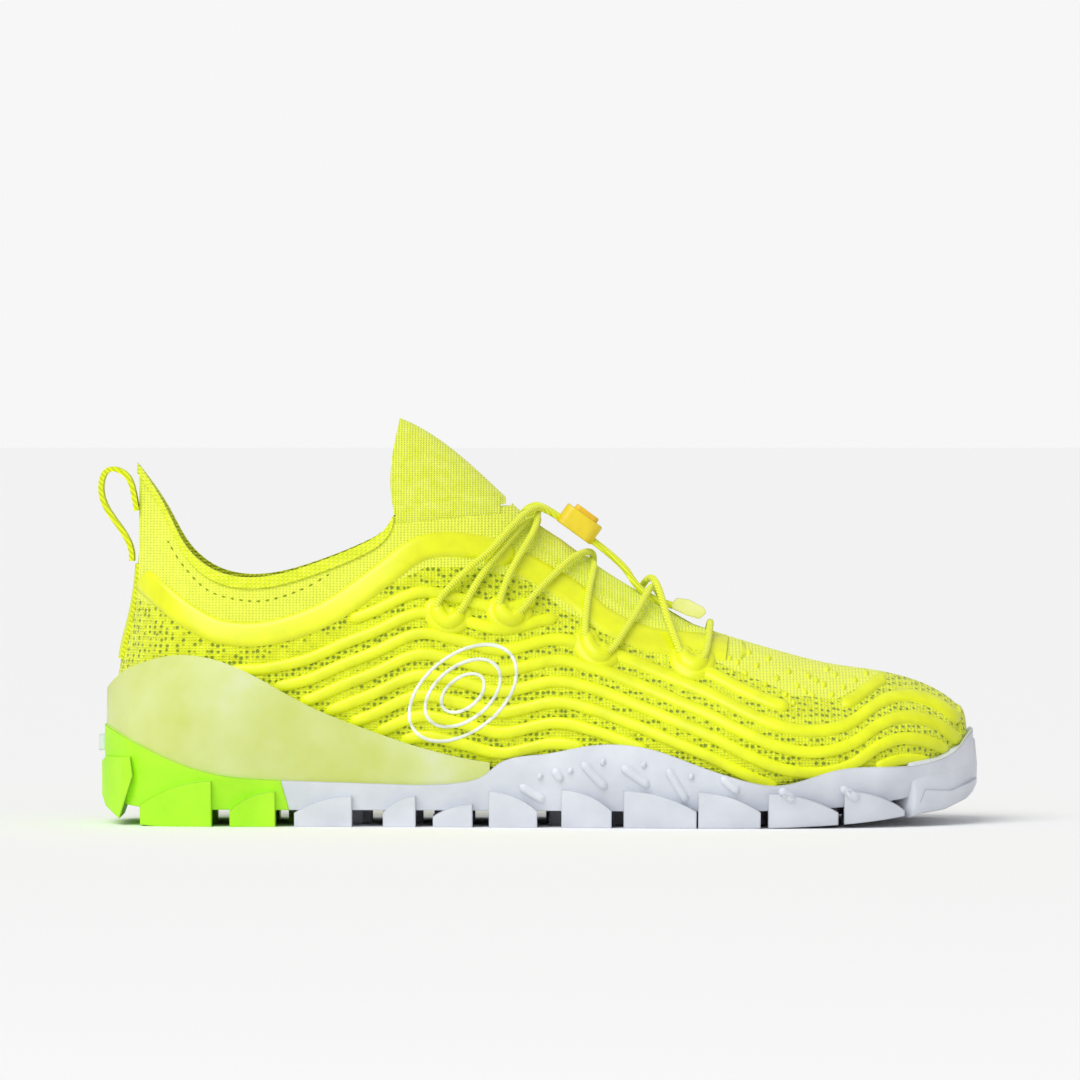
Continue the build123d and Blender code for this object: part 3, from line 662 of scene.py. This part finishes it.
# Toe bumper: the rubber is thickest round the toe, where it turns up over the knit.
TOE_PLAN = [
    (121.0, -32.0), (124.1, -30.0), (132.0, -21.5), (137.6, -12.5), (140.6, -2.0), (141.4, 8.0),
    (140.8, 16.5), (137.6, 22.6), (132.0, 30.0), (124.1, 37.0), (121.0, 39.0),
]
TOE_FOOT = [(42.0, 2.0), (44.0, 4.2), (47.0, 5.2), (49.0, 7.5), (50.4, 10.5)]
outline = curve_through([(x * MM, y * MM) for x, y in TOE_PLAN], 1.5 * MM)
verts, faces = [], []
for i, (x, y) in enumerate(outline):
    before, after = outline[max(i - 1, 0)], outline[min(i + 1, len(outline) - 1)]
    out = Vector((after[1] - before[1], before[0] - after[0], 0.0)).normalized()
    share = min(x / SHARE_X, 50.3)
    top = level(RAND_LINE, share * SHARE_X) + 0.4 * MM
    foot = 4.0 * MM
    for (a, low), (b, high) in zip(TOE_FOOT, TOE_FOOT[1:]):
        if a <= share <= b:
            foot = (low + (high - low) * (share - a) / (b - a)) * MM
    middle = (top + foot) / 2
    rows = [
        (-3.5, top - 2.5 * MM), (-2.0, top), (0.6, top + 0.5 * MM), (2.8, top),
        (4.0, top - 1.8 * MM), (4.7, middle), (4.6, foot + 3.0 * MM), (3.6, foot + 0.8 * MM),
        (2.0, foot), (-7.0, foot + 0.5 * MM), (-9.0, foot + 6.0 * MM),
    ]
    for reach, z in rows:
        verts.append(Vector((x, y, z)) + out * reach * MM)
for i in range(len(outline) - 1):
    for k in range(len(rows) - 1):
        a = i * len(rows) + k
        faces.append((a, a + len(rows), a + len(rows) + 1, a + 1))
for end in (0, len(outline) - 1):
    faces.append(tuple(end * len(rows) + k for k in range(len(rows))))
toe_bumper = build_mesh("toe_bumper", verts, faces)
toe_bumper.data.materials.append(white_rubber)
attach(toe_bumper, "shoe")

# Toe nose: the knit closes round the tips of the toes in one blunt curve.
NOSE_START, NOSE_REACH = 139.0 * MM, 3.6 * MM
NOSE_MIDDLE = Vector((NOSE_START, 9.0 * MM, 28.0 * MM))
AROUND, AHEAD = 40, 8
ring = []
for step in range(AROUND):
    turn = 2 * pi * step / AROUND
    out = Vector((0.0, cos(turn), sin(turn)))
    spot, normal, index, distance = KNIT.ray_cast(NOSE_MIDDLE + out * 0.06, -out)
    ring.append(spot)
verts, faces = [], []
for row in range(AHEAD + 1):
    turn = pi / 2 * row / AHEAD
    for spot in ring:
        from_middle = (spot - NOSE_MIDDLE) * cos(turn) ** 0.7
        verts.append(NOSE_MIDDLE + from_middle + Vector((NOSE_REACH * sin(turn), 0.0, 0.0)))
for row in range(AHEAD):
    for step in range(AROUND):
        a, b = row * AROUND + step, row * AROUND + (step + 1) % AROUND
        faces.append((a, b, b + AROUND, a + AROUND))
toe_nose = build_mesh("toe_nose", verts, faces)
toe_nose.data.materials.append(open_mesh)
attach(toe_nose, "shoe")

# Rand bars and dots: plain raised shapes along the forefoot rand, moulded with the sole.
RAND_BARS = [
    ((-5.5, 13.9), (2.8, 8.9)), ((5.5, 19.5), (8.4, 15.5)), ((14.7, 21.8), (23.0, 12.9)),
    ((27.6, 20.5), (36.9, 13.9)), ((42.5, 19.8), (49.1, 8.9)), ((60.0, 17.0), (66.0, 12.0)),
    ((79.0, 13.0), (84.0, 9.5)), ((99.0, 13.5), (105.0, 9.5)),
]
RAND_DOTS = [(1.2, 16.9), (11.1, 18.9), (21.7, 21.8), (35.0, 21.0), (50.4, 17.2)]
OUTSOLE = surface_of(nodes["outsole"])
verts, faces = [], []
for side in SIDES:
    for (x0, z0), (x1, z1) in RAND_BARS:
        bar = [((x0 + (x1 - x0) * k / 10) * MM, (z0 + (z1 - z0) * k / 10) * MM) for k in range(11)]
        strip(verts, faces, [OUTSOLE], bar, side, 3.0 * MM, 1.3 * MM)
    for x, z in RAND_DOTS:
        dot = [((x + k / 5) * MM, (z - k / 8) * MM) for k in range(-4, 5)]
        strip(verts, faces, [OUTSOLE], dot, side, 2.8 * MM, 1.2 * MM)
rand_shapes = build_mesh("rand_shapes", verts, faces)
rand_shapes.data.materials.append(white_rubber)
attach(rand_shapes, "shoe")

# Inside: foam midsole, foam footbed and its knitted cover, and the toe puff.
foam = moulded("foam", tone(200, 204, 208), tone(222, 225, 228), 0.9, bump=0.12, coat=0.0)
FOOTBED_TONES = (tone(170, 194, 20), tone(200, 224, 40), tone(222, 242, 90))
footbed_cloth = knitted("footbed_cloth", *FOOTBED_TONES, 1.2 * MM)
dress("midsole", foam)
dress("insole", foam)
dress("insole_cover", footbed_cloth)
dress("toe_puff", foam)

# Lacing: moulded cord guides, one elastic round cord from side to side, a sprung lock
# that slides on it and a clip at its ends.
TUNNELS = [
    [(-32.8, 75.2), (-32.4, 69.8), (-28.8, 66.9), (-24.8, 69.6), (-24.2, 72.4)],
    [(-12.2, 75.4), (-12.0, 70.0), (-8.2, 67.4), (-4.8, 70.0), (-4.0, 72.6)],
    [(15.6, 65.0), (16.8, 59.0), (20.2, 55.8), (24.4, 57.0), (25.6, 59.0)],
    [(46.6, 59.0), (48.4, 54.0), (52.4, 52.4), (55.4, 55.4), (55.8, 57.6)],
]
for side, tag in zip(SIDES, ("outer", "inner")):
    verts, faces = [], []
    for tunnel in TUNNELS:
        loop = curve_through([(x * MM, z * MM) for x, z in tunnel], 0.7 * MM)
        strip(verts, faces, [KNIT], loop, side, 9.0 * MM, 1.5 * MM, flat=2)
        strip(verts, faces, [KNIT], loop[3:-3], side, 5.4 * MM, 3.5 * MM)
    loops = build_mesh(f"cord_loops_{tag}", verts, faces)
    loops.data.materials.append(rib_plastic)
    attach(loops, "shoe")
    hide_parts(f"guides_{tag}")
LACE = [
    (48.8, -2.6, 70.6), (43.8, -2.7, 72), (38.6, -2.6, 73.7), (33, -2.5, 78), (28.2, -2.3, 86.2),
    (4.2, -2.3, 103.6), (-1.6, -7.8, 104.4), (-8.4, -17.4, 97.9), (-15, -25.6, 90.2),
    (-20.8, -29, 85.8), (-27.2, -31.8, 79.8), (-32.6, -34.6, 73.8), (-32.4, -35.5, 69.8),
    (-28.8, -35.8, 67.3), (-24.8, -34.8, 70.2), (-20.4, -30.4, 78.6), (-15.4, -25.6, 86),
    (-9.8, -19, 92.6), (-4.2, -9.8, 99), (-0.6, -2.6, 100.6), (0.9, 3.8, 100.4),
    (-0.6, 10.4, 96.8), (-4.8, 17.4, 90.2), (-8.3, 21.8, 82.8), (-11.8, 26, 74.4),
    (-11.9, 27.6, 70.2), (-8.2, 28, 67.8), (-4.7, 26.2, 70.4), (0.4, 21.4, 77.4),
    (6.8, 16.4, 83.4), (12.6, 10.2, 87), (17, 4, 86.9), (19.4, -3, 85.6), (18.4, -9.8, 82),
    (17.2, -16.6, 77), (16.4, -23, 70.6), (15.8, -28.9, 63.8), (16.8, -31.8, 59.2),
    (20.2, -32.8, 56.2), (24.4, -31.8, 57.2), (29.4, -24, 64.6), (33.2, -16, 70.2),
    (36.6, -7.6, 76.2), (38.4, 0.6, 78.5), (40.8, 8.4, 75.3), (43.2, 13.8, 68.4),
    (45.2, 18.8, 62.6), (46.8, 23, 57.8), (48.4, 25.3, 54.2), (52.4, 26.3, 52.7),
    (55.4, 23.8, 55.6), (56.4, 17.8, 60.8), (57.3, 10, 64.7), (57.6, 0.6, 66.6), (57.3, -9.2, 65),
    (56.6, -17.8, 61), (55.4, -26, 55.8), (52.4, -28.9, 52.9), (48.4, -27.5, 54.4),
    (46.8, -25.2, 57.9), (44.8, -19, 63.6), (42.4, -12.4, 70.2), (40.4, -6, 78), (38, 1.2, 81.7),
    (34.8, 9.8, 78), (32, 16.8, 69.6), (28.4, 23, 63.2), (24.4, 27.4, 57.4), (20.2, 28.6, 56.2),
    (16.8, 27.6, 59.2), (15.8, 25, 63.8), (16.2, 21.4, 70.2), (17.2, 16.6, 76.8),
    (18.6, 11.2, 83.2), (19.2, 4.4, 88.9), (16.2, -3.8, 89.7), (11.4, -11.2, 87.6),
    (6.2, -17.8, 82.6), (0.4, -24.5, 77.2), (-4.8, -30.4, 70.7), (-8.2, -32.4, 67.8),
    (-12, -32, 70.2), (-12.1, -30.6, 74.4), (-8.8, -25, 83), (-4.4, -18, 90.6),
    (-0.2, -10.6, 97.4), (0.6, -3.4, 103), (0, 4.2, 103.3), (-4, 11.6, 99.4), (-9.8, 17.8, 92.8),
    (-15.4, 22.5, 86), (-20.5, 26.2, 78.8), (-24.8, 30.2, 70.2), (-28.8, 31.2, 67.3),
    (-32.4, 31.2, 69.8), (-32.8, 30.5, 73.8), (-27.4, 28.2, 79.8), (-21.2, 25.6, 85.8),
    (-14.8, 22.8, 91.2), (-7.6, 16.8, 98.5), (-1.6, 8.4, 105.4), (4.2, 2.3, 103.6),
    (28.2, 2.3, 86.2), (33, 2.5, 78), (38.6, 2.6, 73.7), (43.8, 2.7, 72), (48.8, 2.6, 70.6),
]
CORD = 2.3 * MM
cord_line = bpy.data.curves.new("lace_cord", "CURVE")
cord_line.dimensions = "3D"
cord_line.bevel_depth = CORD / 2
cord_line.bevel_resolution = 4
cord_line.resolution_u = 8
cord_line.use_fill_caps = True
route = cord_line.splines.new("NURBS")
route.points.add(len(LACE) - 1)
for point, (x, y, z) in zip(route.points, LACE):
    point.co = (x * MM, y * MM, z * MM, 1.0)
route.order_u = 3
route.use_endpoint_u = True
lace_cord = bpy.data.objects.new("lace_cord", cord_line)
bpy.context.scene.collection.objects.link(lace_cord)
braid = woven("braided_cord", tone(218, 230, 10), tone(248, 255, 70), 0.8 * MM)
cord_line.materials.append(braid)
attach(lace_cord, "shoe")
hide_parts("lace")

lock_plastic = moulded("lock_plastic", tone(222, 190, 0), tone(238, 214, 10), 0.35, coat=0.4)
button_plastic = moulded("button_plastic", tone(226, 180, 10), tone(240, 200, 20), 0.35, coat=0.4)
clip_plastic = moulded("clip_plastic", tone(226, 230, 110), tone(240, 242, 160), 0.3, coat=0.4)
spring_steel, spring_tree, spring_shader = blank_material("spring_steel")
STEEL_STOPS = [(0.3, tone(130, 130, 132)), (0.7, tone(190, 190, 192))]
steel_mottle = ramp(spring_tree, cloudy(spring_tree, own_place(spring_tree), 1 * MM), STEEL_STOPS)
link(spring_tree, steel_mottle, spring_shader.inputs["Base Color"])
spring_shader.inputs["Metallic"].default_value = 1.0
spring_shader.inputs["Roughness"].default_value = 0.3
dress("lock_body", lock_plastic)
dress("lock_button", button_plastic)
dress("lock_spring", spring_steel)
dress("end_clip", clip_plastic)
dress("strobel_board", foam)
dress("heel_tape", webbing)
